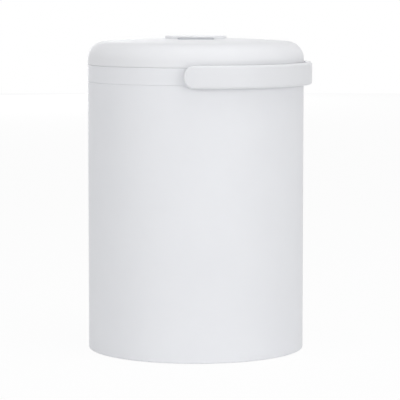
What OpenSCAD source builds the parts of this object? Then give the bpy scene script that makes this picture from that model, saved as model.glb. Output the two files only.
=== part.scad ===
// Nappy bin: a straight round tub with a flush collar, a lift-off lid with a squeeze
// grip, and a bow handle on two pivots. Millimetres, +Z up, origin on the floor under
// the centre of the tub. The front pivot is at -Y and the handle rests towards +X.

/* [Tub] */
// Outside diameter of the tub, the collar and the lid
outer_d = 250; // [235:1:300]
// Height of the seam between the tub and the collar
tub_top = 311.6; // [220:0.1:420]
// Thickness of the tub's wall
tub_wall = 2.8; // [2:0.1:3.5]
// Thickness of the tub's floor
floor_t = 3; // [2:0.1:5]
// Height of the floor's underside over the tub's rim
floor_lift = 5; // [4:0.5:10]
// Rounding of the tub's bottom edge
foot_round = 1.6; // [0.5:0.1:2]
// Rounding of the edges that meet at each seam
seam_round = 0.7; // [0.3:0.1:1]

/* [Base ring] */
// Middle diameter of the non-slip ring
base_ring_d = 216; // [150:1:216]
// Width of the non-slip ring
base_ring_w = 8; // [5:0.5:12]
// How far the ring holds the tub's rim off the ground
base_ring_proud = 0.8; // [0.5:0.1:2]
// Depth of the groove that holds the ring
base_groove = 2; // [1:0.5:3]

/* [Collar] */
// Height of the collar between its two seams
collar_h = 19.5; // [18:0.5:40]
// Thickness of the collar's outer wall
collar_wall = 3.5; // [3.3:0.1:4.5]
// Thickness of the collar's top deck
deck_t = 3; // [2:0.1:5]
// Diameter of the throat that the lid's spigot enters
throat_d = 212; // [190:1:214]
// Thickness of the throat's wall
throat_wall = 2.5; // [2:0.1:3.5]
// Depth of the throat below the collar's top
throat_depth = 31; // [30:0.5:40]
// Thickness of the collar's skirt inside the tub
skirt_wall = 2.7; // [2:0.1:3]
// Depth of the skirt inside the tub
skirt_depth = 14.6; // [10:0.2:30]
// Diameter of the hole in the shelf under the bag ring
shelf_bore_d = 194; // [170:1:200]
// Thickness of the shelf
shelf_t = 3; // [2:0.1:5]
// How far the catch rib stands into the throat
catch_w = 2.5; // [1.5:0.1:3]
// Depth of the catch rib's underside below the collar's top
catch_depth = 16.1; // [15:0.1:17]
// Height of the catch rib's straight inner face
catch_face = 1.2; // [0.8:0.1:1.5]

/* [Lid] */
// Height of the straight part of the lid's side
lid_skirt = 7; // [3:0.5:15]
// Radius of the lid's shoulder
shoulder_r = 19.5; // [17:0.5:24]
// Rise of the crown's middle over the shoulder
crown_rise = 3.8; // [2:0.1:6]
// Thickness of the lid shell
lid_wall = 2.8; // [2:0.1:3.5]
// Thickness of the liner's plate
liner_t = 2.5; // [2:0.1:3.5]
// Radial gap between the liner's spigot and the throat
spigot_gap = 1.4; // [1:0.1:2]
// Thickness of the spigot
spigot_wall = 4; // [3:0.1:5]
// Depth of the spigot below the liner's plate
spigot_depth = 12; // [11:0.1:12]
// Height of the seal
seal_h = 5; // [3:0.5:6]
// Depth of the seal's groove
seal_groove = 1.6; // [1:0.1:2]
// Number of the liner's screws
liner_screws_n = 6; // [4:2:8]
// Diameter of the circle of the liner's screws
liner_screws_pcd = 180; // [160:1:184]
// Length of the liner's screws inside their bosses
liner_screw_grip = 9; // [6:0.5:11]

/* [Grip] */
// Diameter of the grip cap
cap_d = 71; // [66:0.5:90]
// Height of the grip cap over its seat
cap_h = 2.9; // [2.6:0.1:6]
// Rounding of the grip cap's top edge
cap_round = 1; // [0.5:0.1:1.4]
// Height of the slot under the cap's edge
mouth_h = 1.1; // [0.6:0.1:1.4]
// Width of the slot and of the scoop below it
scoop_w = 42; // [40:0.5:44]
// Radius of the scoop
scoop_r = 24; // [22:0.5:28]
// Depth of the scoop below the cap's seat
scoop_depth = 14.3; // [13.5:0.1:14.5]
// Distance from the lid's centre to the scoop's far edge
scoop_reach = 50; // [48:0.5:58]
// Rounding of the scoop's far corners
scoop_corner = 9; // [4:0.5:12]
// Width of the bar between the two scoops
bar_w = 60; // [57:0.5:62]
// Thickness of the finger cups' walls
scoop_wall = 2.5; // [2:0.1:2.5]
// Width of the finger cups' flanges
cup_flange_w = 3; // [2:0.5:6]
// Thickness of the finger cups' flanges
cup_flange_t = 2; // [1.5:0.1:3]
// Distance of the cap's screws from the centre, across the bar
cap_screw_x = 28.5; // [28.5:0.1:29]
// Distance of the cap's screws from the centre, along the bar's width
cap_screw_y = 8; // [6:0.5:8]

/* [Latch] */
// How much narrower the lug behind a pad is than the pad, on each side
lug_inset = 9; // [7:0.5:11]
// Travel of each release pad
press_travel = 4; // [3:0.5:4.5]
// Width of a release pad
pad_w = 40; // [36:0.5:40]
// Height of a release pad
pad_h = 9; // [7:0.5:9]
// Thickness of a release pad in its middle
pad_t = 7.5; // [7:0.1:8]
// How far a pad stands out of the bar
pad_proud = 4; // [3:0.1:4.5]
// Width of a latch slide's arm
arm_w = 18; // [16:0.5:22]
// Thickness of a latch slide's arm
arm_t = 3; // [2.5:0.1:3.5]
// Thickness of the hook's leg and of the lug behind the pad
lug_t = 2.5; // [2:0.1:3]
// Height of the hook's tip
hook_h = 3.4; // [2.5:0.1:3.6]
// Height of the ribs that carry the arms
rib_h = 2; // [2:0.1:2.5]
// Distance of the ribs and rails from the hook's leg
rail_set = 8; // [6:0.5:12]
// Length of a latch spring at rest
spring_len = 17.4; // [15:0.1:20]
// Outside diameter of a latch spring
spring_d = 5.4; // [4.5:0.1:5.6]
// Diameter of the spring's wire
spring_wire = 0.8; // [0.5:0.05:0.9]
// Number of the spring's curls
spring_curls = 8; // [5:1:8]
// Distance from the lid's centre to the spring's fixed post
post_y = 34; // [33:0.5:37]
// Thickness of the spring's post
post_t = 3; // [2:0.1:4]

/* [Handle] */
// Height of the handle's band
band_h = 26; // [22:0.5:30]
// Thickness of the handle's band
band_t = 6.3; // [5.5:0.1:10]
// Gap between the collar and the band
band_gap = 3.5; // [3:0.1:6]
// Rounding of the band's outer edges
band_round = 2.8; // [1:0.1:3.5]
// Depth of the pivot's axis below the collar's top
pivot_depth = 10; // [9.5:0.1:11]
// Reach of the band's round ends past the pivot
end_reach = 13.6; // [12:0.1:16]
// Corner radius of the band's round ends
end_r = 12; // [10:0.5:13]
// Radius of the handle's studs
stud_r = 6; // [4:0.1:6]
// Radial clearance of the studs in their bushes
stud_fit = 0.05; // [0.02:0.01:0.1]
// Thickness of the bush's sleeve
bush_wall = 1.95; // [1.2:0.05:1.95]
// Radius of the bush's flange
flange_r = 9.4; // [8.6:0.1:9.4]
// Depth of the flat face that the flange sits on
flange_sink = 0.6; // [0.5:0.1:0.8]
// Length of the bush's boss behind the collar's wall
boss_len = 6.3; // [4:0.1:7]
// Half angle of the inner cover strip
cover_angle = 68; // [40:1:72]
// Height of the inner cover strip
cover_h = 17.6; // [12:0.2:20]
// Thickness of the inner cover strip
cover_t = 2.3; // [1.5:0.1:3]
// Thickness of a pivot washer
washer_t = 1.5; // [1:0.1:2]
// Radius of a pivot washer
washer_r = 8.5; // [8.2:0.1:9]

/* [Bag ring] */
// Inside diameter of the bag ring
bag_bore_d = 186; // [160:1:188]
// Thickness of the bag ring's flange
bag_flange_t = 3; // [2:0.1:4]
// Thickness of the bag ring's skirt
bag_skirt_wall = 3; // [2:0.1:3.4]
// Depth of the skirt below the shelf's top
bag_skirt_depth = 11; // [6:0.5:20]
// Reach of the finger tabs outwards from the ring's bore
tab_t = 3.2; // [2.5:0.1:5]
// Height of the finger tabs over the flange
tab_h = 10; // [6:0.5:11]
// Half angle of a finger tab
tab_angle = 10; // [5:1:14]

/* [Scent cover] */
// Outside diameter of the scent cover
scent_d = 74; // [60:1:90]
// Height of the scent cover
scent_h = 17.7; // [16:0.1:18]
// Wall of the scent cover
scent_wall = 2; // [1.5:0.1:3]
// Number of bayonet lugs
lugs_n = 3; // [2:1:4]
// Angle that a bayonet lug covers
lug_angle = 24; // [15:1:28]
// Height of a bayonet lug
lug_h = 2; // [1.5:0.1:2.5]
// Number of vent slots
vents_n = 12; // [6:1:16]
// Width of a vent slot
vent_w = 3; // [2:0.1:4]
// Thickness of the scent puck
puck_t = 8; // [5:0.5:9]

/* [Fasteners] */
// Radius of the screws' shanks
screw_r = 1.5; // [1.2:0.1:1.7]
// Radius of the screws' heads
screw_head_r = 3.4; // [3:0.1:3.8]
// Height of the screws' heads
screw_head_h = 2; // [1.5:0.1:2.2]

/* [Hidden] */
$fn = 128;
FN_SMALL = 48;
EPS = 0.01;
// Gap between parts that slide or lift past each other
RUN = 0.3;
// Gap between fixed parts
FIT = 0.1;
// Room past the tip of a screw
TIP = 2;

WHITE = [0.93, 0.93, 0.94];
TRIM = [0.88, 0.89, 0.91];
PALE_BLUE = [0.74, 0.79, 0.86];
GREY = [0.55, 0.56, 0.58];
STEEL = [0.7, 0.71, 0.73];

outer_r = outer_d / 2;
floor_z = base_ring_proud + floor_lift;
collar_top = tub_top + collar_h;
tub_bore_r = outer_r - tub_wall;
collar_in_r = outer_r - collar_wall;
skirt_r = tub_bore_r - FIT;
throat_r = throat_d / 2;
throat_z = collar_top - throat_depth;
shelf_z = throat_z + shelf_t;
catch_z = collar_top - catch_depth;
catch_r = throat_r - catch_w;

shoulder_z = collar_top + lid_skirt;
shoulder_x = outer_r - shoulder_r;
crown_z = shoulder_z + shoulder_r + crown_rise;
dome_r = shoulder_r + (shoulder_x * shoulder_x + crown_rise * crown_rise) / (2 * crown_rise);
dome_tilt = asin(shoulder_x / (dome_r - shoulder_r));
seat_r = cap_d / 2 + 0.5;
seat_z = crown_z - dome_r + sqrt(dome_r * dome_r - seat_r * seat_r);
ceiling_z = seat_z - lid_wall;

scoop_z = seat_z - scoop_depth + scoop_r;
scoop_chord = sqrt(scoop_r * scoop_r - pow(scoop_r - scoop_depth, 2));
scoop_y = scoop_reach - scoop_chord;
bar_y = bar_w / 2;

plate_z = collar_top + RUN;
plate_top = plate_z + liner_t;
spigot_r = throat_r - spigot_gap;
spigot_z = plate_z - spigot_depth;
seal_z = spigot_z + (spigot_depth - seal_h) / 2;
post_top = ceiling_z - scoop_depth - scoop_wall + lid_wall - RUN;
liner_boss_r = 5;
cap_boss_r = 3.5;

pad_z = seat_z + mouth_h - RUN - pad_h;
pad_front = bar_y + pad_proud;
pad_back = pad_front - pad_t;
window_back = pad_back - press_travel - RUN;
lug_back = pad_back - lug_t;
lug_top = ceiling_z - RUN;
arm_z = plate_top + rib_h + RUN;
arm_mid = arm_z + arm_t / 2;
hook_top = catch_z - RUN;
hook_z = hook_top - hook_h;
hook_r = throat_r - 2 * RUN;
leg_out = catch_r - press_travel / 2 - RUN - 1;
leg_in = leg_out - lug_t;
arm_window_w = spring_d + 2.8;
window_in = post_y - RUN - 0.2;
window_out = post_y + post_t + spring_len + 2 * RUN;
PEG_R = 2;
PEG_X = 8;
PEG_LEN = 2;
peg_z = lug_top - PEG_R - 0.6;
cap_hole_depth = min(cap_h - 0.9, 2.6);

pivot_z = collar_top - pivot_depth;
band_in_r = outer_r + band_gap;
band_out_r = band_in_r + band_t;
flange_seat = outer_r - flange_sink;
flange_face = outer_r + 1;
stud_base = flange_face + RUN;
pivot_room = washer_t + screw_head_h + 3 * RUN + FIT;
boss_end = max(collar_in_r - boss_len, throat_r + throat_wall + pivot_room);
bush_end = boss_end - FIT;
washer_face = bush_end - RUN;
washer_end = washer_face - washer_t;
bush_bore_r = stud_r + stud_fit;
bush_r = bush_bore_r + bush_wall;
pivot_boss_r = min(pivot_depth - 0.1, bush_r + 1.85);
pivot_screw_len = 13;

bag_bore_r = bag_bore_d / 2;
bag_out_r = catch_r - RUN;
scent_r = scent_d / 2;
scent_in_r = scent_r - scent_wall;
lug_r = scent_in_r - RUN;
lug_root_r = lug_r - 1.7;
holder_wall = 3;
lug_z = plate_z - 6;
scent_top = plate_z - RUN;
scent_z = scent_top - scent_h;

// Points of an arc around c from angle a0 to a1
function arc(c, r, a0, a1, n) =
    [for (i = [0:n]) let (a = a0 + (a1 - a0) * i / n) c + r * [cos(a), sin(a)]];

// Solid of revolution of a list of boxes [r_in, r_out, z_low, z_high]
module rings(list) {
    rotate_extrude()
        for (b = list)
            translate([b[0], b[2]]) square([b[1] - b[0], b[3] - b[2]]);
}

// A sector of a ring around +Z, centred on angle 0
module ring_sector(r_in, r_out, z_low, z_high, half_angle) {
    rotate([0, 0, -half_angle])
        rotate_extrude(angle = 2 * half_angle)
            translate([r_in, z_low]) square([r_out - r_in, z_high - z_low]);
}

// A cylinder along the pivot axis at the front, from y_out towards the centre
module front_pin(r, y_out, y_in) {
    translate([0, -y_in, pivot_z]) rotate([90, 0, 0])
        cylinder(h = y_out - y_in, r = r, $fn = FN_SMALL);
}

// The children as they are, and turned half round to the rear
module rear() {
    rotate([0, 0, 180]) children();
}

module both_sides() {
    children();
    rear() children();
}

// Places on the bar where the cap is screwed down
module at_cap_screws() {
    for (x = [-cap_screw_x, cap_screw_x], y = [-cap_screw_y, cap_screw_y])
        translate([x, y, 0]) children();
}

module at_liner_screws() {
    for (i = [0:liner_screws_n - 1])
        rotate([0, 0, i * 360 / liner_screws_n])
            translate([liner_screws_pcd / 2, 0, 0]) children();
}

// A screw with its head on top of z = 0 and its shank going down
module screw(len) {
    cylinder(h = screw_head_h, r = screw_head_r, $fn = FN_SMALL);
    translate([0, 0, -len]) cylinder(h = len + EPS, r = screw_r, $fn = FN_SMALL);
}

// ---- Tub ----

module outer_tub() {
    ring_mid = base_ring_d / 2;
    seat_w = base_ring_w / 2 + 2.5;
    groove_w = base_ring_w / 2 + FIT;
    groove_z = floor_z - 0.5;
    color(WHITE) difference() {
        rotate_extrude() {
            polygon(concat(
                [[0, floor_z], [tub_bore_r, floor_z], [tub_bore_r, base_ring_proud]],
                arc([outer_r - foot_round, base_ring_proud + foot_round], foot_round, -90, 0, 8),
                arc([outer_r - seam_round, tub_top - seam_round], seam_round, 0, 90, 6),
                [[tub_bore_r, tub_top], [tub_bore_r, floor_z + floor_t + 3]],
                arc([tub_bore_r - 3, floor_z + floor_t + 3], 3, 0, -90, 6),
                [[0, floor_z + floor_t]]
            ));
            translate([ring_mid - seat_w, groove_z - base_groove])
                square([2 * seat_w, base_groove + 1]);
        }
        rings([[ring_mid - groove_w, ring_mid + groove_w, groove_z - base_groove - 1, groove_z]]);
        rings([[skirt_r - EPS, skirt_r + 0.7, skirt_z() + 5 - FIT, skirt_z() + 7 + FIT]]);
    }
}

function skirt_z() = tub_top - skirt_depth;

module base_ring() {
    ring_mid = base_ring_d / 2;
    color(GREY)
        rings([[ring_mid - base_ring_w / 2, ring_mid + base_ring_w / 2, 0, floor_z - 0.5]]);
}

// ---- Collar ----

module collar_ring() {
    color(WHITE) difference() {
        union() {
            rotate_extrude() {
                polygon(concat(
                    [[collar_in_r, tub_top], [outer_r - seam_round, tub_top]],
                    arc([outer_r - seam_round, tub_top + seam_round], seam_round, -90, 0, 6),
                    arc([outer_r - seam_round, collar_top - seam_round], seam_round, 0, 90, 6),
                    [[throat_r, collar_top], [throat_r, collar_top - deck_t]],
                    [[collar_in_r, collar_top - deck_t]]
                ));
                polygon([
                    [throat_r + EPS, catch_z], [catch_r, catch_z], [catch_r, catch_z + catch_face],
                    [throat_r + EPS, catch_z + catch_face + catch_w]
                ]);
            }
            rings([
                [throat_r, throat_r + throat_wall, throat_z, collar_top - EPS],
                [shelf_bore_d / 2, throat_r + throat_wall, throat_z, shelf_z],
                [skirt_r - skirt_wall, skirt_r, skirt_z(), tub_top + 1.5],
                [collar_in_r - 1, outer_r - seam_round, tub_top, tub_top + 1.5],
                [skirt_r - EPS, skirt_r + 0.6, skirt_z() + 5, skirt_z() + 7]
            ]);
            both_sides() front_pin(pivot_boss_r, collar_in_r + 0.5, boss_end);
        }
        both_sides() {
            front_pin(bush_r + 0.05, outer_r + 2, boss_end - 1);
            front_pin(flange_r + 0.2, outer_r + 2, flange_seat);
            front_pin(washer_r + RUN, boss_end, washer_end - RUN);
        }
    }
}

module pivot_bush() {
    color(TRIM) difference() {
        union() {
            front_pin(bush_r, flange_face, bush_end);
            front_pin(flange_r, flange_face, flange_seat);
        }
        front_pin(bush_bore_r, flange_face + 1, bush_end - 1);
    }
}

module pivot_bush_front() { pivot_bush(); }
module pivot_bush_rear() { rear() pivot_bush(); }

// ---- Lid ----

// Half section of the lid's outside, or of its inside when drawn in by a wall
module lid_section(wall) {
    foot = wall > 0
        ? [[0, collar_top - 1], [outer_r - wall, collar_top - 1]]
        : concat([[0, collar_top]],
            arc([outer_r - seam_round, collar_top + seam_round], seam_round, -90, 0, 6));
    dome_c = [0, crown_z - dome_r];
    inner_r = dome_r - wall;
    polygon(concat(
        foot,
        arc([shoulder_x, shoulder_z], shoulder_r - wall, 0, 90 - dome_tilt, 16),
        arc(dome_c, inner_r, 90 - dome_tilt, acos(seat_r / inner_r), 8),
        [[seat_r, seat_z - wall], [0, seat_z - wall]]
    ));
}

// Plan of the front scoop from its far edge to the bar, grown all round by wall
module scoop_plan(wall) {
    half_w = scoop_w / 2 + wall;
    corner = scoop_corner + wall;
    far_y = -scoop_reach - wall - 1;
    translate([-half_w, far_y + corner]) square([2 * half_w, wall - bar_y - far_y - corner]);
    translate([corner - half_w, far_y]) square([2 * (half_w - corner), corner + EPS]);
    for (s = [-1, 1])
        translate([s * (half_w - corner), far_y + corner]) circle(r = corner);
}

// The front scoop's space, grown all round by wall
module scoop(wall) {
    intersection() {
        translate([0, -scoop_y, scoop_z]) rotate([0, 90, 0])
            cylinder(h = scoop_w + 2 * wall + 2, r = scoop_r + wall, center = true);
        translate([0, 0, scoop_z - 2 * scoop_r]) linear_extrude(height = 3 * scoop_r)
            scoop_plan(wall);
    }
}

// Room that the front pad and the lug behind it move in
module pad_window() {
    translate([-pad_w / 2 - RUN, -bar_y - EPS, pad_z - RUN])
        cube([pad_w + 2 * RUN, bar_y - window_back, 2 * pad_h]);
}

module lid_shell() {
    color(WHITE) difference() {
        union() {
            rotate_extrude() difference() {
                lid_section(0);
                lid_section(lid_wall);
            }
            intersection() {
                at_liner_screws() translate([0, 0, plate_top])
                    cylinder(h = ceiling_z - plate_top, r = liner_boss_r, $fn = FN_SMALL);
                rotate_extrude() lid_section(lid_wall / 2);
            }
        }
        both_sides() {
            scoop(0);
            pad_window();
        }
        at_cap_screws() translate([0, 0, ceiling_z - 1])
            cylinder(h = lid_wall + 2, r = cap_boss_r + 0.2, $fn = FN_SMALL);
        at_liner_screws() translate([0, 0, plate_top - 1])
            cylinder(h = liner_screw_grip + TIP + 1, r = screw_r + 0.05, $fn = FN_SMALL);
    }
}

// The cup under the front scoop, with a flange that is bonded under the crown
module finger_cup() {
    flange_w = scoop_wall + cup_flange_w;
    far_y = scoop_reach + flange_w + 2;
    color(WHITE) difference() {
        intersection() {
            union() {
                scoop(scoop_wall);
                intersection() {
                    translate([0, 0, ceiling_z - cup_flange_t]) linear_extrude(height = 2 * cup_flange_t)
                        scoop_plan(flange_w);
                    translate([-far_y, -far_y, ceiling_z - 2 * cup_flange_t])
                        cube([2 * far_y, far_y - bar_y - 6, 4 * cup_flange_t]);
                }
            }
            rotate_extrude() lid_section(lid_wall + FIT);
        }
        scoop(0);
        pad_window();
    }
}

module finger_cup_front() { finger_cup(); }
module finger_cup_rear() { rear() finger_cup(); }

module lid_liner() {
    rail_x = arm_w / 2 + RUN;
    rib_x = arm_window_w / 2 + 0.4;
    rib_w = arm_w / 2 - rib_x - 0.4;
    holder_r = lug_root_r;
    color(WHITE) difference() {
        union() {
            rings([
                [0, outer_r - lid_wall - RUN, plate_z, plate_top],
                [spigot_r - spigot_wall, spigot_r, spigot_z, plate_z + EPS],
                [holder_r - holder_wall, holder_r, lug_z, plate_z + EPS]
            ]);
            for (i = [0:lugs_n - 1]) rotate([0, 0, i * 360 / lugs_n])
                ring_sector(holder_r - EPS, lug_r, lug_z, lug_z + lug_h, lug_angle / 2);
            both_sides() {
                for (s = [-1, 1]) {
                    translate([s > 0 ? rail_x : -rail_x - 2, -leg_in + rail_set, plate_top - EPS])
                        cube([2, leg_in - rail_set - pad_back - RUN, rib_h + arm_t]);
                    translate([s > 0 ? rib_x : -rib_x - rib_w, -leg_in + rail_set, plate_top - EPS])
                        cube([rib_w, leg_in - rail_set - bar_y, rib_h]);
                }
                translate([-arm_window_w / 2 + 0.6, -post_y - post_t, plate_top - EPS])
                    cube([arm_window_w - 1.2, post_t, post_top - plate_top]);
            }
        }
        rings([[spigot_r - seal_groove, spigot_r + 1, seal_z, seal_z + seal_h]]);
        both_sides() translate([-arm_w / 2 - RUN, -leg_out - RUN, spigot_z - 1])
            cube([arm_w + 2 * RUN, lug_t + press_travel + 2 * RUN, spigot_depth + liner_t + 2]);
        at_liner_screws() {
            translate([0, 0, plate_z - 1])
                cylinder(h = liner_t + 2, r = screw_r + RUN, $fn = FN_SMALL);
            translate([0, 0, plate_z - screw_head_h - RUN])
                cylinder(h = screw_head_h + RUN, r = screw_head_r + RUN, $fn = FN_SMALL);
        }
    }
}

module lid_seal() {
    color(GREY) rotate_extrude() {
        translate([spigot_r - seal_groove, seal_z + FIT / 2])
            square([seal_groove + 0.2, seal_h - FIT]);
        polygon([
            [spigot_r + 0.1, seal_z + 0.2], [throat_r - RUN, seal_z + seal_h / 2 - 0.4],
            [throat_r - RUN, seal_z + seal_h / 2 + 0.4], [spigot_r + 0.1, seal_z + seal_h - 0.2]
        ]);
    }
}

module grip_cap() {
    cap_r = cap_d / 2;
    color(WHITE) difference() {
        union() {
            translate([0, 0, seat_z]) rotate_extrude() polygon(concat(
                [[0, 0], [cap_r, 0]],
                arc([cap_r - cap_round, cap_h - cap_round], cap_round, 0, 90, 6),
                [[0, cap_h]]
            ));
            at_cap_screws() translate([0, 0, ceiling_z + 0.1])
                cylinder(h = lid_wall, r = cap_boss_r, $fn = FN_SMALL);
        }
        both_sides() {
            translate([-scoop_w / 2, -cap_r - 1, seat_z - EPS])
                cube([scoop_w, cap_r + 1 - bar_y, mouth_h + EPS]);
            translate([-pad_w / 2 - RUN, -bar_y - EPS, seat_z - EPS])
                cube([pad_w + 2 * RUN, bar_y - window_back, mouth_h + EPS]);
        }
        at_cap_screws() translate([0, 0, ceiling_z - 1])
            cylinder(h = lid_wall + 1 + cap_hole_depth, r = screw_r + 0.05, $fn = FN_SMALL);
    }
}

module grip_screws() {
    color(STEEL) at_cap_screws() translate([0, 0, ceiling_z]) mirror([0, 0, 1])
        screw(lid_wall + cap_hole_depth - 0.4);
}

module liner_screws() {
    color(STEEL) at_liner_screws() translate([0, 0, plate_z]) mirror([0, 0, 1])
        screw(liner_t + liner_screw_grip);
}

// ---- Squeeze latch ----

// Slide of the front latch: an arm with a lug behind the pad and a hook under the catch rib
module latch_slide() {
    lug_w = pad_w - 2 * lug_inset;
    color(PALE_BLUE) difference() {
        union() {
            translate([-arm_w / 2, -leg_out, arm_z]) cube([arm_w, leg_out - lug_back, arm_t]);
            translate([-lug_w / 2, -pad_back, arm_z]) cube([lug_w, lug_t, lug_top - arm_z]);
            translate([-arm_w / 2, -leg_out, hook_z]) cube([arm_w, lug_t, arm_z - hook_z + 1]);
            intersection() {
                translate([0, 0, hook_z]) {
                    cylinder(h = hook_h / 2, r1 = hook_r - 1.7, r2 = hook_r);
                    translate([0, 0, hook_h / 2]) cylinder(h = hook_h / 2, r = hook_r);
                }
                translate([-arm_w / 2, -hook_r - 1, hook_z])
                    cube([arm_w, hook_r + 1 - leg_in, hook_h]);
            }
        }
        translate([-arm_window_w / 2, -window_out, arm_z - 1])
            cube([arm_window_w, window_out - window_in, arm_t + 2]);
        pad_pegs(0.1);
    }
}

// The two pegs on the back of the front pad
module pad_pegs(gap) {
    for (x = [-PEG_X, PEG_X])
        translate([x, -pad_back - EPS, peg_z]) rotate([-90, 0, 0])
            cylinder(h = PEG_LEN + gap + EPS, r = PEG_R + gap / 2, $fn = FN_SMALL);
}

// Front pad, whose face is round about the lid's axis like the cap's edge before it
module release_pad() {
    color(PALE_BLUE) {
        intersection() {
            translate([-pad_w / 2, -pad_front, pad_z]) cube([pad_w, pad_t, pad_h]);
            translate([0, 0, pad_z - 1]) cylinder(h = pad_h + 2, r = pad_front);
        }
        pad_pegs(0);
    }
}

// Rings of a round wire's six-sided tube that coils along -Y
module latch_spring() {
    sides = 6;
    steps = 8 * spring_curls;
    coil_r = (spring_d - spring_wire) / 2;
    lead = (spring_len - spring_wire) / spring_curls;
    slope = atan2(lead, 2 * PI * coil_r);
    start = post_y + post_t + RUN + spring_wire / 2;
    points = [
        for (i = [0:steps], k = [0:sides - 1])
            let (turn = i * 45, a = k * 360 / sides, out = coil_r + spring_wire / 2 * cos(a),
                side = spring_wire / 2 * sin(a))
            [
                out * cos(turn) + side * sin(turn) * sin(slope),
                -start - lead * i / 8 - side * cos(slope),
                arm_mid + out * sin(turn) - side * cos(turn) * sin(slope)
            ]
    ];
    tube = [
        for (i = [0:steps - 1], k = [0:sides - 1])
            let (k2 = (k + 1) % sides)
            each [
                [i * sides + k, i * sides + k2, (i + 1) * sides + k2],
                [i * sides + k, (i + 1) * sides + k2, (i + 1) * sides + k]
            ]
    ];
    ends = [[for (k = [sides - 1:-1:0]) k], [for (k = [0:sides - 1]) steps * sides + k]];
    echo(str("latch_spring least gap to itself ", lead * cos(slope) - spring_wire));
    color(STEEL) polyhedron(points, concat(tube, ends), convexity = 8);
}

module latch_slide_front() { latch_slide(); }
module latch_slide_rear() { rear() latch_slide(); }
module release_pad_front() { release_pad(); }
module release_pad_rear() { rear() release_pad(); }
module latch_spring_front() { latch_spring(); }
module latch_spring_rear() { rear() latch_spring(); }

// ---- Handle ----

// Side view of the bow and its round ends, x along and z up from the pivot
module band_outline() {
    corner = min(end_r, band_h / 2);
    rest = band_h / 2 - corner;
    translate([0, -band_h / 2]) square([outer_r + 4 * band_t, band_h]);
    translate([-end_reach, -rest]) square([end_reach + EPS, max(2 * rest, EPS)]);
    translate([corner - end_reach, -band_h / 2]) square([end_reach - corner + EPS, band_h]);
    for (s = [-1, 1])
        translate([corner - end_reach, s * rest]) circle(r = corner);
}

module handle_bow() {
    recess = cover_t + 0.1;
    color(WHITE) difference() {
        union() {
            intersection() {
                translate([0, 0, pivot_z]) rotate_extrude() polygon(concat(
                    [[band_in_r, -band_h / 2]],
                    arc([band_out_r - band_round, band_round - band_h / 2], band_round, -90, 0, 8),
                    arc([band_out_r - band_round, band_h / 2 - band_round], band_round, 0, 90, 8),
                    [[band_in_r, band_h / 2]]
                ));
                translate([0, 0, pivot_z]) rotate([90, 0, 0])
                    linear_extrude(height = 3 * band_out_r, center = true) band_outline();
            }
            both_sides() {
                front_pin(flange_r, band_in_r + 1, stud_base);
                front_pin(stud_r, band_in_r + 1, washer_face);
            }
        }
        translate([0, 0, pivot_z])
            ring_sector(band_in_r - 1, band_in_r + recess, -cover_h / 2 - FIT, cover_h / 2 + FIT,
                cover_angle + 0.1);
        both_sides() front_pin(screw_r + 0.05, washer_face + pivot_screw_len, washer_face - 1);
    }
}

module handle_inner_cover() {
    color(TRIM) translate([0, 0, pivot_z])
        ring_sector(band_in_r + 0.1, band_in_r + cover_t, -cover_h / 2, cover_h / 2, cover_angle);
}

module pivot_washer() {
    color(STEEL) difference() {
        front_pin(washer_r, washer_face, washer_end);
        front_pin(screw_r + 0.2, washer_face + 1, washer_end - 1);
    }
}

module pivot_screw() {
    color(STEEL) translate([0, -washer_end, pivot_z]) rotate([-90, 0, 0])
        screw(washer_t + pivot_screw_len - 1);
}

module pivot_washer_front() { pivot_washer(); }
module pivot_washer_rear() { rear() pivot_washer(); }
module pivot_screw_front() { pivot_screw(); }
module pivot_screw_rear() { rear() pivot_screw(); }

// ---- Bag ring ----

module bag_ring() {
    color(TRIM) {
        rings([
            [bag_bore_r, bag_out_r, shelf_z, shelf_z + bag_flange_t],
            [bag_bore_r, bag_bore_r + bag_skirt_wall, shelf_z - bag_skirt_depth, shelf_z + 1],
            [bag_out_r - 2.2, bag_out_r, shelf_z, shelf_z + bag_flange_t + 2.5]
        ]);
        both_sides() ring_sector(bag_bore_r + 0.5, bag_bore_r + tab_t, shelf_z + 1,
            shelf_z + bag_flange_t + tab_h, tab_angle);
    }
}

// ---- Scent cover ----

module scent_cover() {
    hook_top_z = lug_z - RUN;
    color(TRIM) difference() {
        union() {
            rings([
                [scent_in_r, scent_r, scent_z, scent_top],
                [0, scent_r - EPS, scent_z, scent_z + scent_wall]
            ]);
            for (i = [0:lugs_n - 1]) rotate([0, 0, i * 360 / lugs_n])
                ring_sector(lug_root_r + RUN, scent_in_r + 1, hook_top_z - lug_h, hook_top_z,
                    lug_angle / 2);
        }
        for (i = [0:vents_n - 1]) rotate([0, 0, i * 360 / vents_n])
            translate([scent_r * 0.3, -vent_w / 2, scent_z - 1])
                cube([scent_r * 0.45, vent_w, scent_wall + 2]);
    }
}

module scent_puck() {
    puck_z = scent_z + scent_wall;
    color(PALE_BLUE) rings([[0, lug_root_r - holder_wall - 1, puck_z, puck_z + puck_t]]);
}

outer_tub();
base_ring();
collar_ring();
pivot_bush_front();
pivot_bush_rear();
lid_shell();
lid_liner();
lid_seal();
finger_cup_front();
finger_cup_rear();
grip_cap();
grip_screws();
liner_screws();
latch_slide_front();
latch_slide_rear();
release_pad_front();
release_pad_rear();
latch_spring_front();
latch_spring_rear();
handle_bow();
handle_inner_cover();
pivot_washer_front();
pivot_washer_rear();
pivot_screw_front();
pivot_screw_rear();
bag_ring();
scent_cover();
scent_puck();
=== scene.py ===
"""Looks of the nappy bin: an all-white moulded bin with a lift-off lid and a bow handle.

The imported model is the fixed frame. Pieces are built in millimetres in the frame's own axes,
with bmesh operators, and are written to their objects in metres.
"""
import logging
import math
from dataclasses import dataclass
from enum import Enum
from typing import Callable, Iterable, Sequence

import bmesh
import bpy
from mathutils import Matrix, Vector


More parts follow.
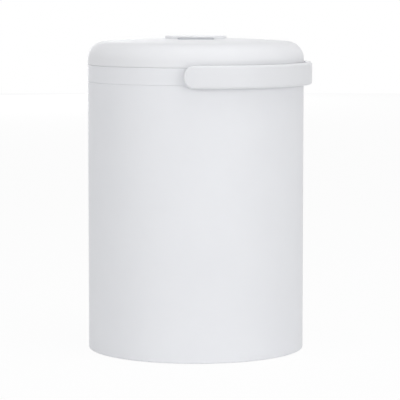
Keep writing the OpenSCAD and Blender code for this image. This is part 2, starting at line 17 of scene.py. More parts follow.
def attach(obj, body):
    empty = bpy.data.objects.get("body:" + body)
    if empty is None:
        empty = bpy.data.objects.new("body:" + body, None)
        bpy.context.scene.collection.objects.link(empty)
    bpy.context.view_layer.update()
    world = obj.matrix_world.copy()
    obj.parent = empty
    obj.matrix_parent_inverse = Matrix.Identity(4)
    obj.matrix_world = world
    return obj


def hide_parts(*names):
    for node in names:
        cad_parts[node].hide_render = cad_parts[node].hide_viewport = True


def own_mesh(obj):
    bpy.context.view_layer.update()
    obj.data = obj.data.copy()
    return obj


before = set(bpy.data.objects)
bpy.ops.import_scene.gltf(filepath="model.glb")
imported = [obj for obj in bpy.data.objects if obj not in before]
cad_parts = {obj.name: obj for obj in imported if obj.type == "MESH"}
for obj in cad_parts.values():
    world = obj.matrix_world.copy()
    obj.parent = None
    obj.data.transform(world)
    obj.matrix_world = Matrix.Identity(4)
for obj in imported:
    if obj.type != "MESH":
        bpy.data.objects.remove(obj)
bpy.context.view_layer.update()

LOG = logging.getLogger("nappy_bin")
MM = 0.001
TURN_STEPS = 192
SMALL_STEPS = 48
SHARP_ANGLE = math.radians(30)
ZERO = (0.0, 0.0, 0.0)
PHOTO_PIXELS = 400
SENSOR_MM = 36.0

# Distances in millimetres within which vertices are joined.
WELD = 0.0005
WELD_AFTER_CUT = 0.002

# Sizes in millimetres that more than one sub-assembly uses.
BODY_RADIUS = 125.0
BODY_WALL = 2.8
SEAM_ROUND = 0.7
PIVOT_HEIGHT = 321.1
BAR_HALF = 30.0
PAD_HALF = 20.0
PAD_LOW = 352.76
PAD_ROOM = 0.3
WINDOW_BACK = 22.2


class Cut(Enum):
    """How two solids are put together."""

    UNION = "UNION"
    AWAY = "DIFFERENCE"
    COMMON = "INTERSECT"


class Axis(Enum):
    """Axis of a turn."""

    X = "X"
    Y = "Y"
    Z = "Z"


class Sum(Enum):
    """How two values of a material are put together."""

    ADDED = "ADD"
    TIMES = "MULTIPLY"
    LARGER = "MAXIMUM"


class Facing(Enum):
    """Side of the bin that a latch, pivot or cup is on, as the turn from the front."""

    FRONT = 0.0
    REAR = 180.0

    @property
    def word(self) -> str:
        """The side's word in the names of its pieces."""
        return self.name.lower()

    @property
    def sign(self) -> float:
        """Sign of y on this side."""
        return -1.0 if self is Facing.FRONT else 1.0


class TipTo(Enum):
    """Way in which a screw's tip points, as the turn about X that takes it there from down."""

    UP = 180.0
    FRONT = -90.0
    REAR = 90.0


# ---------------------------------------------------------------- solids


class Solid:
    """A closed mesh in millimetres that bmesh operators shape."""

    def __init__(self, bm: bmesh.types.BMesh) -> None:
        """Take over a mesh that is in millimetres."""
        self.bm = bm

    @classmethod
    def plate(cls, outline: Sequence[tuple[float, float, float]], depth: float,
              arc_steps: int = 8) -> "Solid":
        """Extrude an outline of the XY plane upwards.

        Args:
            outline: x, y and fillet of each corner, in order round the outline.
            depth: height of the plate.
            arc_steps: edges in each fillet.

        Returns:
            The plate, with its underside at z = 0.
        """
        bm = bmesh.new()
        corners = [bm.verts.new((x, y, 0.0)) for x, y, _ in outline]
        bm.faces.new(corners)
        for vert, (_, _, fillet) in zip(corners, outline):
            round_corner(bm, vert, fillet, arc_steps)
        made = bmesh.ops.extrude_face_region(bm, geom=bm.faces[:])
        risen = [item for item in made["geom"] if isinstance(item, bmesh.types.BMVert)]
        bmesh.ops.translate(bm, verts=risen, vec=(0.0, 0.0, depth))
        bmesh.ops.recalc_face_normals(bm, faces=bm.faces[:])
        return cls(bm)

    @classmethod
    def block(cls, half: float, depths: Sequence[float], heights: Sequence[float],
              rounding: float = 0.0, segments: int = 3) -> "Solid":
        """Make a box with rounded edges that is centred on x = 0.

        Args:
            half: half its length along x.
            depths: y of its two sides, in either order.
            heights: z of its underside and of its top.
            rounding: radius of all its edges.
            segments: edges in each rounding.

        Returns:
            The block.
        """
        low = Vector((-half, min(depths), heights[0]))
        size = Vector((half, max(depths), heights[1])) - low
        bm = bmesh.new()
        bmesh.ops.create_cube(bm, size=1.0)
        bmesh.ops.scale(bm, vec=size, verts=bm.verts[:])
        bmesh.ops.translate(bm, verts=bm.verts[:], vec=low + size / 2)
        return cls(bm).rounded(rounding, segments)

    def copy(self) -> "Solid":
        """Return the same solid in a mesh of its own."""
        return Solid(self.bm.copy())

    def moved(self, x: float = 0.0, y: float = 0.0, z: float = 0.0) -> "Solid":
        """Shift the solid by a distance along each axis and return it."""
        bmesh.ops.translate(self.bm, verts=self.bm.verts[:], vec=(x, y, z))
        return self

    def spun(self, degrees: float, axis: Axis = Axis.Z) -> "Solid":
        """Turn the solid about an axis through the origin.

        Args:
            degrees: angle of the turn.
            axis: axis of the turn.

        Returns:
            The same solid.
        """
        turn = Matrix.Rotation(math.radians(degrees), 3, axis.value)
        bmesh.ops.rotate(self.bm, verts=self.bm.verts[:], cent=ZERO, matrix=turn)
        return self

    def rounded(self, radius: float, segments: int = 3,
                where: Callable[[Vector], bool] = lambda middle: True) -> "Solid":
        """Round the sharp edges of the solid.

        Args:
            radius: width of the rounding; nothing happens at 0.
            segments: edges across the rounding.
            where: says from an edge's middle whether the edge is rounded.

        Returns:
            The same solid.
        """
        if radius <= 0:
            return self
        sharp = [
            edge for edge in self.bm.edges
            if edge.is_manifold and edge.calc_face_angle(0.0) > SHARP_ANGLE
            and where((edge.verts[0].co + edge.verts[1].co) / 2)
        ]
        bmesh.ops.bevel(self.bm, geom=sharp, offset=radius, offset_type="OFFSET",
                        segments=segments, profile=0.5, affect="EDGES", material=-1,
                        clamp_overlap=True)
        return self

    def strips(self, first: float, last: float, count: int) -> "Solid":
        """Cut the faces into strips across X so that the solid can be bent.

        Args:
            first: x of the first cut.
            last: x of the last cut.
            count: number of cuts.

        Returns:
            The same solid.
        """
        for i in range(count):
            x = first + (last - first) * i / (count - 1)
            bmesh.ops.bisect_plane(
                self.bm, geom=self.bm.verts[:] + self.bm.edges[:] + self.bm.faces[:],
                dist=WELD, plane_co=(x, 0.0, 0.0), plane_no=(1.0, 0.0, 0.0))
        return self

    def bent(self, radius: float, measured: float) -> "Solid":
        """Bend a straight solid round the Z axis, its x running along the arc.

        Args:
            radius: distance from the axis of what lies at y = 0.
            measured: radius at which lengths along x stay true.

        Returns:
            The same solid, centred on the +X axis.
        """
        for vert in self.bm.verts:
            angle, reach = vert.co.x / measured, radius + vert.co.y
            vert.co = (reach * math.cos(angle), reach * math.sin(angle), vert.co.z)
        bmesh.ops.recalc_face_normals(self.bm, faces=self.bm.faces[:])
        return self

    def combined(self, other: "Solid", how: Cut) -> "Solid":
        """Put another solid to this one, or take it away.

        Args:
            other: the second solid, which stays as it is.
            how: union, difference or intersection.

        Returns:
            A new solid.
        """
        base = link_mesh("work_base", self.bm, 1.0)
        tool = link_mesh("work_tool", other.bm, 1.0)
        step = base.modifiers.new("step", "BOOLEAN")
        step.operation = how.value
        step.solver = "EXACT"
        step.object = tool
        graph = bpy.context.evaluated_depsgraph_get()
        mesh = bpy.data.meshes.new_from_object(base.evaluated_get(graph))
        bm = bmesh.new()
        bm.from_mesh(mesh)
        bmesh.ops.remove_doubles(bm, verts=bm.verts[:], dist=WELD_AFTER_CUT)
        for item in (base, tool):
            data = item.data
            bpy.data.objects.remove(item)
            bpy.data.meshes.remove(data)
        bpy.data.meshes.remove(mesh)
        return Solid(bm)

    def plus(self, other: "Solid") -> "Solid":
        """Return the union with another solid."""
        return self.combined(other, Cut.UNION)

    def minus(self, other: "Solid") -> "Solid":
        """Return this solid without the other."""
        return self.combined(other, Cut.AWAY)

    def beside(self, other: "Solid") -> "Solid":
        """Take in a solid that doesn't touch this one.

        Args:
            other: the second solid, which stays as it is.

        Returns:
            This solid, which then holds both.
        """
        mesh = bpy.data.meshes.new("work_copy")
        other.bm.to_mesh(mesh)
        self.bm.from_mesh(mesh)
        bpy.data.meshes.remove(mesh)
        return self

    def piece(self, name: str) -> bpy.types.Object:
        """Write the solid to a named object in metres, shaded smooth between its sharp edges.

        Args:
            name: the object's name.

        Returns:
            The object, at the origin.
        """
        item = link_mesh(name, self.bm, MM)
        item.data.shade_smooth()
        item.data.set_sharp_from_angle(angle=SHARP_ANGLE)
        finish = item.modifiers.new("even_normals", "WEIGHTED_NORMAL")
        finish.keep_sharp = True
        LOG.info("%s: %d faces", name, len(item.data.polygons))
        return item


class Section:
    """A half section in the XZ plane, drawn corner by corner and turned round the Z axis."""

    def __init__(self, radius: float, height: float, fillet: float = 0.0) -> None:
        """Start the section at a corner.

        Args:
            radius: the corner's distance from the axis.
            height: the corner's height.
            fillet: rounding of the corner.
        """
        self.bm = bmesh.new()
        self.first = self.last = self.bm.verts.new((radius, 0.0, height))
        self.fillets = [(self.first, fillet)]

    def line(self, radius: float, height: float, fillet: float = 0.0) -> "Section":
        """Draw a straight line to the next corner.

        Args:
            radius: the corner's distance from the axis.
            height: the corner's height.
            fillet: rounding of the corner.

        Returns:
            The same section.
        """
        vert = self.bm.verts.new((radius, 0.0, height))
        self.bm.edges.new((self.last, vert))
        self.fillets.append((vert, fillet))
        self.last = vert
        return self

    def lines(self, corners: Iterable[tuple[float, float, float]]) -> "Section":
        """Draw straight lines through several corners.

        Args:
            corners: radius, height and fillet of each corner.

        Returns:
            The same section.
        """
        for radius, height, fillet in corners:
            self.line(radius, height, fillet)
        return self

    def arc(self, centre: tuple[float, float], degrees: float, steps: int) -> "Section":
        """Draw an arc from the last corner.

        Args:
            centre: radius and height of the arc's centre.
            degrees: angle of the arc, anticlockwise as seen from the front.
            steps: edges in the arc.

        Returns:
            The same section.
        """
        made = bmesh.ops.spin(
            self.bm, geom=[self.last], cent=(centre[0], 0.0, centre[1]), axis=(0.0, 1.0, 0.0),
            dvec=ZERO, angle=-math.radians(degrees), steps=steps, use_duplicate=False)
        self.last = next(v for v in made["geom_last"] if isinstance(v, bmesh.types.BMVert))
        return self

    def turned(self, steps: int = TURN_STEPS, arc_steps: int = 5) -> Solid:
        """Close the section and turn it into a solid.

        Args:
            steps: facets round the axis.
            arc_steps: edges in each fillet.

        Returns:
            The solid of revolution.
        """
        self.bm.edges.new((self.last, self.first))
        for vert, fillet in self.fillets:
            round_corner(self.bm, vert, fillet, arc_steps)
        bmesh.ops.spin(
            self.bm, geom=self.bm.verts[:] + self.bm.edges[:], cent=ZERO,
            axis=(0.0, 0.0, 1.0), dvec=ZERO, angle=math.tau, steps=steps,
            use_merge=True, use_duplicate=False)
        bmesh.ops.remove_doubles(self.bm, verts=self.bm.verts[:], dist=WELD)
        bmesh.ops.dissolve_degenerate(self.bm, edges=self.bm.edges[:], dist=WELD)
        loose = [edge for edge in self.bm.edges if not edge.link_faces]
        bmesh.ops.delete(self.bm, geom=loose, context="EDGES")
        bmesh.ops.recalc_face_normals(self.bm, faces=self.bm.faces[:])
        return Solid(self.bm)


def round_corner(bm: bmesh.types.BMesh, vert: bmesh.types.BMVert, fillet: float,
                 steps: int) -> None:
    """Replace a corner of a wire or of a flat face with an arc.

    Args:
        bm: the mesh that holds the corner.
        vert: the corner.
        fillet: radius of the arc where the corner is square; nothing happens at 0.
        steps: edges in the arc.
    """
    if fillet > 0:
        bmesh.ops.bevel(bm, geom=[vert], offset=fillet, offset_type="OFFSET", segments=steps,
                        profile=0.5, affect="VERTICES", material=-1, clamp_overlap=True)


def add_object(name: str, data: bpy.types.ID) -> bpy.types.Object:
    """Put data into the scene as an object at the origin.

    Args:
        name: the object's name.
        data: its mesh, lamp or camera.

    Returns:
        The object.
    """
    item = bpy.data.objects.new(name, data)
    bpy.context.scene.collection.objects.link(item)
    return item


def link_mesh(name: str, bm: bmesh.types.BMesh, scale: float) -> bpy.types.Object:
    """Copy a mesh into a new object of the scene.

    Args:
        name: the object's name.
        bm: the mesh, which is left as it is.
        scale: factor on its vertices.

    Returns:
        The object, at the origin.
    """
    mesh = bpy.data.meshes.new(name)
    bm.to_mesh(mesh)
    mesh.transform(Matrix.Scale(scale, 4))
    return add_object(name, mesh)


def pin(radius: float, low: float, high: float, chamfer: float = 0.0,
        steps: int = SMALL_STEPS) -> Solid:
    """Make a round pin on the Z axis with rounded ends.

    Args:
        radius: radius of the pin.
        low: height of its lower end.
        high: height of its upper end.
        chamfer: rounding of both ends.
        steps: facets round the pin.

    Returns:
        The pin.
    """
    return Section(0.0, low).lines([
        (radius, low, chamfer), (radius, high, chamfer), (0.0, high, 0.0)
    ]).turned(steps, 3)


# ---------------------------------------------------------------- finishes


class NodeGraph:
    """Short way to lay out the nodes of a material or a node group."""

    def __init__(self, tree: bpy.types.NodeTree) -> None:
        """Empty a tree to fill it."""
        self.tree = tree
        tree.nodes.clear()

    def add(self, kind: str, inputs: dict[str | int, object] | None = None,
            **settings: object) -> bpy.types.Node:
        """Add a node and connect or set its inputs.

        Args:
            kind: the node's type.
            inputs: input name or index, with the socket to link or the value to set.
            **settings: properties of the node.

        Returns:
            The node.
        """
        node = self.tree.nodes.new(kind)
        for key, value in settings.items():
            setattr(node, key, value)
        for key, value in (inputs or {}).items():
            if isinstance(value, bpy.types.NodeSocket):
                self.tree.links.new(value, node.inputs[key])
            else:
                node.inputs[key].default_value = value
        return node

    def worked_out(self, how: Sum, first: object, second: object,
                   **settings: object) -> bpy.types.NodeSocket:
        """Return the result of a maths node on two sockets or numbers."""
        return self.add("ShaderNodeMath", {0: first, 1: second}, operation=how.value,
                        **settings).outputs[0]


@dataclass(frozen=True)
class SurfaceGroup:
    """The node group that all moulded and rubbed surfaces share.

    It puts out a colour with soft clouding, a roughness with handling marks, and the height of
    the mould's fine grain.
    """

    name: str = "moulded_surface"

    def build(self) -> bpy.types.NodeTree:
        """Build the group at the first call.

        Returns:
            The group, the same one at each call.
        """
        made = bpy.data.node_groups.get(self.name)
        if made:
            return made
        tree = bpy.data.node_groups.new(self.name, "ShaderNodeTree")
        graph = NodeGraph(tree)
        sockets = tree.interface
        for label, kind, value in (
            ("Colour", "NodeSocketColor", (0.8, 0.8, 0.8, 1.0)),
            ("Shade", "NodeSocketColor", (0.6, 0.6, 0.6, 1.0)),
            ("Clouding", "NodeSocketFloat", 0.2),
            ("Roughness", "NodeSocketFloat", 0.4),
            ("Handling", "NodeSocketFloat", 0.08),
            ("Grain Scale", "NodeSocketFloat", 2600.0),
            ("Pitting", "NodeSocketFloat", 0.3),
        ):
            socket = sockets.new_socket(name=label, in_out="INPUT", socket_type=kind)
            socket.default_value = value
        for label, kind in (("Colour", "NodeSocketColor"), ("Roughness", "NodeSocketFloat"),
                            ("Height", "NodeSocketFloat")):
            sockets.new_socket(name=label, in_out="OUTPUT", socket_type=kind)
        given = graph.add("NodeGroupInput").outputs
        place = graph.add("ShaderNodeTexCoord").outputs["Object"]
        clouds = graph.add("ShaderNodeTexNoise", {
            "Vector": place, "Scale": 14.0, "Detail": 4.0, "Roughness": 0.55})
        stretched = graph.add("ShaderNodeMapping", {
            "Vector": place, "Scale": (60.0, 60.0, 9.0)})
        rubs = graph.add("ShaderNodeTexNoise", {
            "Vector": stretched.outputs[0], "Scale": 1.0, "Detail": 6.0, "Roughness": 0.62})
        cloud_mask = graph.add("ShaderNodeMapRange", {
            "Value": clouds.outputs["Fac"], "From Min": 0.38, "From Max": 0.72})
        cloud_share = graph.worked_out(Sum.TIMES, cloud_mask.outputs[0], given["Clouding"])
        tint = graph.add("ShaderNodeMix", {
            "Factor": cloud_share, 6: given["Colour"], 7: given["Shade"]}, data_type="RGBA")
        rub_mask = graph.add("ShaderNodeMapRange", {
            "Value": rubs.outputs["Fac"], "From Min": 0.35, "From Max": 0.75,
            "To Min": -1.0, "To Max": 1.0})
        rub_share = graph.worked_out(Sum.TIMES, rub_mask.outputs[0], given["Handling"])
        rough = graph.worked_out(Sum.ADDED, given["Roughness"], rub_share, use_clamp=True)
        fine = graph.add("ShaderNodeTexNoise", {
            "Vector": place, "Scale": given["Grain Scale"], "Detail": 3.0, "Roughness": 0.6})
        pits = graph.add("ShaderNodeTexVoronoi", {
            "Vector": place, "Scale": given["Grain Scale"], "Randomness": 1.0},
            feature="SMOOTH_F1")
        pit_share = graph.worked_out(Sum.TIMES, pits.outputs["Distance"], given["Pitting"])
        height = graph.worked_out(Sum.ADDED, fine.outputs["Fac"], pit_share)
        graph.add("NodeGroupOutput", {
            "Colour": tint.outputs[2], "Roughness": rough, "Height": height})
        return tree


@dataclass(frozen=True)
class Finish:
    """A surface finish of the bin and how its material is built.

    Colours are linear. Lengths are in metres.
    """

    name: str
    slot: str
    colour: tuple[float, float, float]
    shade: tuple[float, float, float]
    roughness: float
    clouding: float = 0.2
    handling: float = 0.06
    grain_scale: float = 2600.0
    pitting: float = 0.3
    relief: float = 0.2
    relief_depth: float = 0.00006
    metallic: float = 0.0
    specular: float = 0.5
    sheen: float = 0.0
    subsurface: float = 0.0
    subsurface_scale: float = 0.001

    def material(self) -> bpy.types.Material:
        """Build the finish's material at the first call.

        Returns:
            The material, the same one at each call.
        """
        made = bpy.data.materials.get(self.name)
        if made:
            return made
        made = bpy.data.materials.new(self.name)
        made.use_nodes = True
        graph = NodeGraph(made.node_tree)
        surface = graph.add("ShaderNodeGroup", {
            "Colour": (*self.colour, 1.0), "Shade": (*self.shade, 1.0),
            "Clouding": self.clouding, "Roughness": self.roughness,
            "Handling": self.handling, "Grain Scale": self.grain_scale,
            "Pitting": self.pitting}, node_tree=SurfaceGroup().build())
        bump = graph.add("ShaderNodeBump", {
            "Strength": self.relief, "Distance": self.relief_depth,
            "Height": surface.outputs["Height"]})
        shader = graph.add("ShaderNodeBsdfPrincipled", {
            "Base Color": surface.outputs["Colour"], "Roughness": surface.outputs["Roughness"],
            "Normal": bump.outputs[0], "Metallic": self.metallic,
            "Specular IOR Level": self.specular, "Sheen Weight": self.sheen,
            "Subsurface Weight": self.subsurface, "Subsurface Scale": self.subsurface_scale})
        graph.add("ShaderNodeOutputMaterial", {"Surface": shader.outputs[0]})
        return made


WHITE_SHELL = Finish(
    "satin_white_moulding", "white_moulding", (0.83, 0.838, 0.862), (0.80, 0.808, 0.835),
    roughness=0.5, clouding=0.5, specular=0.32)
WHITE_LID = Finish(
    "lid_white_moulding", "white_moulding", (0.835, 0.84, 0.858), (0.81, 0.817, 0.84),
    roughness=0.52, clouding=0.45, specular=0.3)
# The handle is the shell's white moulding painted about 5 % darker: painted shade standing in for
# the dimmer light on the handle's band.
WHITE_HANDLE_SHADED = Finish(
    "handle_white_painted_shade", "white_moulding", (0.793, 0.80, 0.82), (0.764, 0.772, 0.797),
    roughness=0.43, clouding=0.4, handling=0.09, relief=0.14, specular=0.38)
INNER_WHITE = Finish(
    "inner_white_moulding", "white_moulding", (0.82, 0.826, 0.842), (0.77, 0.778, 0.80),
    roughness=0.5, clouding=0.55, grain_scale=1800.0, specular=0.4)
TRIM_WHITE = Finish(
    "trim_moulding", "trim_moulding", (0.74, 0.755, 0.785), (0.69, 0.705, 0.74),
    roughness=0.34, clouding=0.4, grain_scale=3200.0, relief=0.12)
PAD_BLUE = Finish(
    "pale_pad_moulding", "pale_pad", (0.85, 0.867, 0.895), (0.79, 0.81, 0.842),
    roughness=0.5, clouding=0.4, grain_scale=1700.0, pitting=0.7, relief=0.3)
SCENT_WAX = Finish(
    "scent_block_wax", "scent_block", (0.56, 0.66, 0.74), (0.44, 0.55, 0.65),
    roughness=0.6, clouding=0.8, handling=0.12, grain_scale=650.0, pitting=1.4, relief=0.7,
    relief_depth=0.0003, subsurface=0.25)
RUBBER = Finish(
    "soft_grey_rubber", "soft_rubber", (0.30, 0.305, 0.315), (0.23, 0.235, 0.245),
    roughness=0.72, clouding=0.6, handling=0.1, grain_scale=1500.0, pitting=0.8, relief=0.4,
    specular=0.3, sheen=0.2)
STEEL = Finish(
    "zinc_plated_steel", "screw_steel", (0.66, 0.67, 0.69), (0.52, 0.53, 0.56),
    roughness=0.3, clouding=0.6, handling=0.12, grain_scale=3000.0, relief=0.15, metallic=1.0)


def dress(item: bpy.types.Object, finish: Finish) -> None:
    """Give a piece or a CAD node one finish all over."""
    item.data.materials.clear()
    item.data.materials.append(finish.material())


def seat(item: bpy.types.Object, body: str, finish: Finish, *nodes: str) -> None:
    """Dress a finished piece, make it ride and let it stand for its CAD nodes.

    Args:
        item: the piece.
        body: the CAD body that it moves with.
        finish: its finish.
        *nodes: the CAD nodes that it replaces.
    """
    dress(item, finish)
    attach(item, body)
    if nodes:
        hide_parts(*nodes)
    LOG.info("%s rides on %s for %s", item.name, body, ", ".join(nodes) or "itself")


def keep(finish: Finish, *nodes: str) -> None:
    """Give CAD nodes whose shape is right a finish.

    Args:
        finish: the finish.
        *nodes: names of the nodes.
    """
    for name in nodes:
        dress(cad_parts[name], finish)
        LOG.info("%s kept, in %s", name, finish.name)


# ---------------------------------------------------------------- studio


@dataclass
class PhotoCamera:
    """The camera at the photograph's place, pitched a little down, with places in metres."""

    side: float = 0.0049
    distance: float = 2.5928
    height: float = 0.42563
    pitch: float = 5.57
    focal_pixels: float = 2234.5
    farthest: float = 50.0

    def build(self) -> None:
        """Create the camera and make it the scene's."""
        lens = bpy.data.cameras.new("photo_camera")
        lens.sensor_width = SENSOR_MM
        lens.lens = self.focal_pixels * SENSOR_MM / PHOTO_PIXELS
        lens.clip_end = self.farthest
        camera = add_object("photo_camera", lens)
        camera.location = (self.side, -self.distance, self.height)
        camera.rotation_euler = (math.radians(90.0 - self.pitch), 0.0, 0.0)
        bpy.context.scene.camera = camera
        LOG.info("camera with a %.1f mm lens", lens.lens)


@dataclass(frozen=True)
class Lamp:
    """A large soft lamp that looks at the middle of the bin."""

    name: str
    place: tuple[float, float, float]
    size: float
    watts: float
    aim: tuple[float, float, float] = (0.0, 0.0, 0.2)

    def build(self) -> None:
        """Create the lamp."""
        light = bpy.data.lights.new(self.name, "AREA")
        light.shape = "SQUARE"
        light.size = self.size
        light.energy = self.watts
        item = add_object(self.name, light)
        item.location = self.place
        look = Vector(self.aim) - Vector(self.place)
        item.rotation_euler = look.to_track_quat("-Z", "Y").to_euler()


@dataclass
class Studio:
    """A pale floor, a white surround and soft lamps."""

    floor_half: float = 6.0
    floor_white: float = 0.94
    floor_colour: tuple[float, float, float] = (0.92, 0.92, 0.92)
    surround: float = 0.41
    lamps: tuple[Lamp, ...] = (
        Lamp("right_lamp", (2.3, -2.3, 0.9), 1.7, 25.5),
        Lamp("left_lamp", (-2.4, -2.0, 1.1), 2.0, 22.0),
        Lamp("front_lamp", (0.3, -3.0, 0.35), 1.4, 9.0),
        Lamp("top_lamp", (0.3, -0.4, 2.2), 1.4, 14.0),
        Lamp("back_lamp", (-1.0, 5.8, 0.15), 2.4, 96.0),
    )

    def build(self) -> None:
        """Create the surround, the floor and the lamps, and set the plain view."""
        bpy.context.scene.view_settings.view_transform = "Standard"
        self.build_surround()
        self.build_floor()
        for lamp in self.lamps:
            lamp.build()
        LOG.info("studio with %d lamps", len(self.lamps))

    def build_surround(self) -> None:
        """Light from all round, which the camera and reflections see as white."""
        world = bpy.data.worlds.new("white_surround")
        world.use_nodes = True
        graph = NodeGraph(world.node_tree)
        seen = self.seen_directly(graph)
        soft = graph.add("ShaderNodeBackground", {
            "Color": (0.985, 0.99, 1.0, 1.0), "Strength": self.surround})
        white = graph.add("ShaderNodeBackground", {
            "Color": (1.0, 1.0, 1.0, 1.0), "Strength": 1.0})
        mix = graph.add("ShaderNodeMixShader", {
            0: seen, 1: soft.outputs[0], 2: white.outputs[0]})
        graph.add("ShaderNodeOutputWorld", {"Surface": mix.outputs[0]})
        bpy.context.scene.world = world

    def build_floor(self) -> None:
        """Lay the floor, which stays pale and takes the bin's shadow."""
        bm = bmesh.new()
        bmesh.ops.create_grid(bm, x_segments=1, y_segments=1, size=self.floor_half)
        floor = link_mesh("studio_floor", bm, 1.0)
        material = bpy.data.materials.new("studio_floor")
        material.use_nodes = True
        graph = NodeGraph(material.node_tree)
        seen = self.seen_directly(graph)
        share = graph.worked_out(Sum.TIMES, seen, self.floor_white)
        paint = graph.add("ShaderNodeBsdfDiffuse", {"Color": (*self.floor_colour, 1.0)})
        glow = graph.add("ShaderNodeEmission", {"Strength": 1.0})
        mix = graph.add("ShaderNodeMixShader", {
            0: share, 1: paint.outputs[0], 2: glow.outputs[0]})
        graph.add("ShaderNodeOutputMaterial", {"Surface": mix.outputs[0]})
        floor.data.materials.append(material)

    @staticmethod
    def seen_directly(graph: NodeGraph) -> bpy.types.NodeSocket:
        """Tell the rays that see a surface directly, in a mirror or through glass.

        Args:
            graph: the material that asks.

        Returns:
            A socket that is 1 for camera, glossy and transmission rays and 0 for the others.
        """
        path = graph.add("ShaderNodeLightPath").outputs
        mirrored = graph.worked_out(Sum.LARGER, path["Is Glossy Ray"],
                                    path["Is Transmission Ray"])
        return graph.worked_out(Sum.LARGER, path["Is Camera Ray"], mirrored)


# ---------------------------------------------------------------- the bin


@dataclass
class TubAssembly:
    """The straight tub and the non-slip ring under it."""

    radius: float = BODY_RADIUS
    wall: float = BODY_WALL
    top: float = 311.6
    rim: float = 0.8
    floor_low: float = 5.8
    floor_high: float = 8.8
    foot_round: float = 1.6
    seam_round: float = SEAM_ROUND
    ring_middle: float = 108.0
    ring_width: float = 8.0
    ring_top: float = 5.3
    ring_room: float = 0.1
    carrier_half: float = 6.5
    carrier_depth: float = 2.5
    snap_low: float = 301.9
    snap_high: float = 304.1
    snap_depth: float = 0.6
    sole_grooves: tuple[float, float] = (2.1, 4.9)
    sole_groove_depth: float = 0.7

    def build(self) -> None:
        """Build and dress both pieces."""
        self.build_tub()
        self.build_base_ring()

    def build_tub(self) -> None:
        """Turn the tub with its foot, floor, ring carrier and snap groove."""
        bore, middle = self.radius - self.wall, self.ring_middle
        carrier, groove = self.carrier_half, self.ring_width / 2 + self.ring_room
        low, snap = self.floor_low - self.carrier_depth, bore + self.snap_depth
        tub = Section(0.0, self.floor_high).lines([
            (bore, self.floor_high, 3.0), (bore, self.snap_low, 0.0),
            (snap, self.snap_low, 0.0), (snap, self.snap_high, 0.0),
            (bore, self.snap_high, 0.0), (bore, self.top, 0.5),
            (self.radius, self.top, self.seam_round),
            (self.radius, self.rim, self.foot_round), (bore, self.rim, 0.6),
            (bore, self.floor_low, 1.5), (middle + carrier, self.floor_low, 0.6),
            (middle + carrier, low, 0.5), (middle + groove, low, 0.3),
            (middle + groove, self.ring_top, 0.0), (middle - groove, self.ring_top, 0.0),
            (middle - groove, low, 0.3), (middle - carrier, low, 0.5),
            (middle - carrier, self.floor_low, 0.6), (0.0, self.floor_low, 0.0),
        ]).turned()
        seat(tub.piece("tub"), "bin", WHITE_SHELL, "outer_tub")

    def build_base_ring(self) -> None:
        """Turn the rubber ring, with two grooves in its sole."""
        half, deep = self.ring_width / 2, self.sole_groove_depth
        inner, outer = self.ring_middle - half, self.ring_middle + half
        sole = [(inner, 0.0, 0.8)]
        for start in self.sole_grooves:
            near = inner + start
            sole += [(near, 0.0, 0.3), (near + 0.2, deep, 0.15),
                     (near + 0.8, deep, 0.15), (near + 1.0, 0.0, 0.3)]
        ring = Section(inner, self.ring_top, 0.3).lines(
            sole + [(outer, 0.0, 0.8), (outer, self.ring_top, 0.3)]).turned(arc_steps=3)
        seat(ring.piece("non_slip_ring"), "bin", RUBBER, "base_ring")


@dataclass
class CollarAssembly:
    """The collar band between tub and lid, with the handle's bushes."""

    def build(self) -> None:
        """Dress the collar and its bushes, whose CAD shape is right."""
        keep(WHITE_SHELL, "collar_ring")
        keep(TRIM_WHITE, "pivot_bush_front", "pivot_bush_rear")


